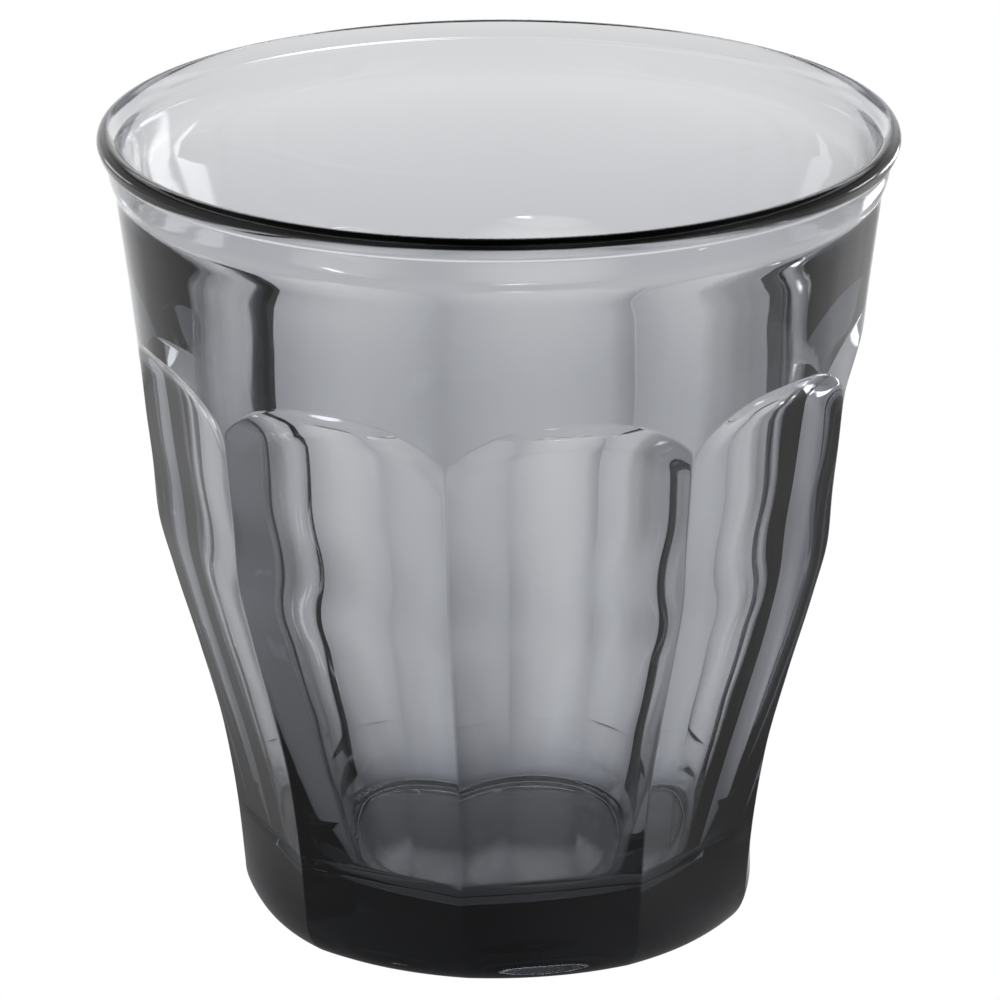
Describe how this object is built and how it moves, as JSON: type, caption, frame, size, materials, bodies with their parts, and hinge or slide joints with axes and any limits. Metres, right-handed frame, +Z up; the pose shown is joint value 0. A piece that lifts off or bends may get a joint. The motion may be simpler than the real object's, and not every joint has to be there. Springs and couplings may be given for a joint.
{
  "type": "drinking tumbler",
  "caption": "Faceted pressed-glass tumbler in smoke grey: flared round lip, arched panels sweeping down to a panelled foot, plain tapered cup inside, stands on a flat ring.",
  "frame": {"origin": "middle of the flat standing ring under the foot", "axes": "+Z up along the axis of the cup; -Y through one edge between two panels"},
  "size_m": [0.086, 0.086, 0.0881],
  "materials": {
    "smoke_glass": "polished, fire-finished lip, even smoke-grey tint"
  },
  "bodies": {
    "root": {"tumbler_glass": "smoke_glass"}
  },
  "joints": []
}
